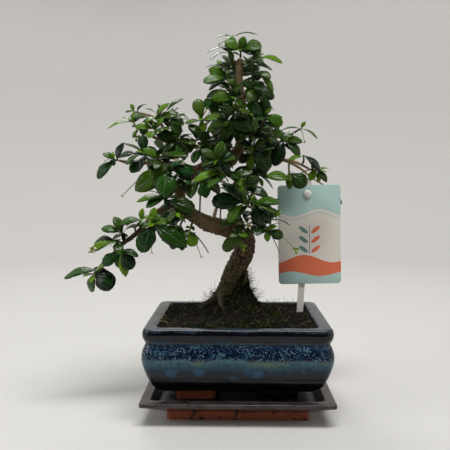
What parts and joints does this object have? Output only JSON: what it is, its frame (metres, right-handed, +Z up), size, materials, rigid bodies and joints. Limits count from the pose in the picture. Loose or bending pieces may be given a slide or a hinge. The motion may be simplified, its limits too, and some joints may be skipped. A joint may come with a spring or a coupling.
{
  "type": "potted bonsai tree",
  "caption": "Fukien tea bonsai with an S-curved trunk in a rectangular glazed pot on a drip tray, with a plant label on a stick.",
  "frame": {"origin": "middle of the drip tray's flat underside, on the surface it stands on", "axes": "+Z up; +X to the right and -Y to the front, as seen from the side that the label faces"},
  "size_m": [0.2324, 0.1381, 0.3127],
  "materials": {
    "tray_glaze": "dark brown-black glaze over bare terracotta foot",
    "pot_glaze": "blue reactive glaze on stoneware",
    "soil": "moist potting soil with moss and fibres",
    "bark": "rough brown bark, green with moss low down",
    "leaf": "glossy dark green leaves, lighter when young",
    "stick_plastic": "translucent white moulded plastic",
    "printed_card": "thin printed plastic card, satin",
    "mesh_plastic": "black plastic mesh"
  },
  "bodies": {
    "root": {"drain_mesh_left": "mesh_plastic", "drain_mesh_right": "mesh_plastic", "drip_tray": "tray_glaze", "label_card": "printed_card", "label_stick": "stick_plastic", "pot": "pot_glaze", "shoot_back_left_1": "leaf", "shoot_back_low_1": "leaf", "shoot_back_mid_1": "leaf", "shoot_centre_right_1": "leaf", "shoot_centre_rise_1": "leaf", "shoot_centre_rise_2": "leaf", "shoot_centre_rise_3": "leaf", "shoot_crown_left_1": "leaf", "shoot_crown_left_2": "leaf", "shoot_crown_right_1": "leaf", "shoot_front_high_1": "leaf", "shoot_front_low_1": "leaf", "shoot_front_mid_1": "leaf", "shoot_front_mid_2": "leaf", "shoot_high_left_1": "leaf", "shoot_high_left_2": "leaf", "shoot_high_left_3": "leaf", "shoot_high_left_4": "leaf", "shoot_high_left_upper_1": "leaf", "shoot_high_left_upper_2": "leaf", "shoot_high_left_upper_3": "leaf", "shoot_left_riser_1": "leaf", "shoot_low_left_1": "leaf", "shoot_low_left_2": "leaf", "shoot_low_left_3": "leaf", "shoot_low_left_4": "leaf", "shoot_low_left_5": "leaf", "shoot_low_left_6": "leaf", "shoot_low_left_7": "leaf", "shoot_mid_left_1": "leaf", "shoot_mid_left_2": "leaf", "shoot_mid_left_3": "leaf", "shoot_right_1": "leaf", "shoot_right_2": "leaf", "shoot_right_3": "leaf", "shoot_right_hang_1": "leaf", "shoot_right_high_1": "leaf", "shoot_right_low_1": "leaf", "shoot_right_low_2": "leaf", "shoot_right_low_3": "leaf", "shoot_right_low_4": "leaf", "shoot_trunk_1": "leaf", "shoot_trunk_10": "leaf", "shoot_trunk_11": "leaf", "shoot_trunk_2": "leaf", "shoot_trunk_3": "leaf", "shoot_trunk_4": "leaf", "shoot_trunk_5": "leaf", "shoot_trunk_6": "leaf", "shoot_trunk_7": "leaf", "shoot_trunk_8": "leaf", "shoot_trunk_9": "leaf", "soil": "soil", "trunk": "bark"}
  },
  "joints": []
}
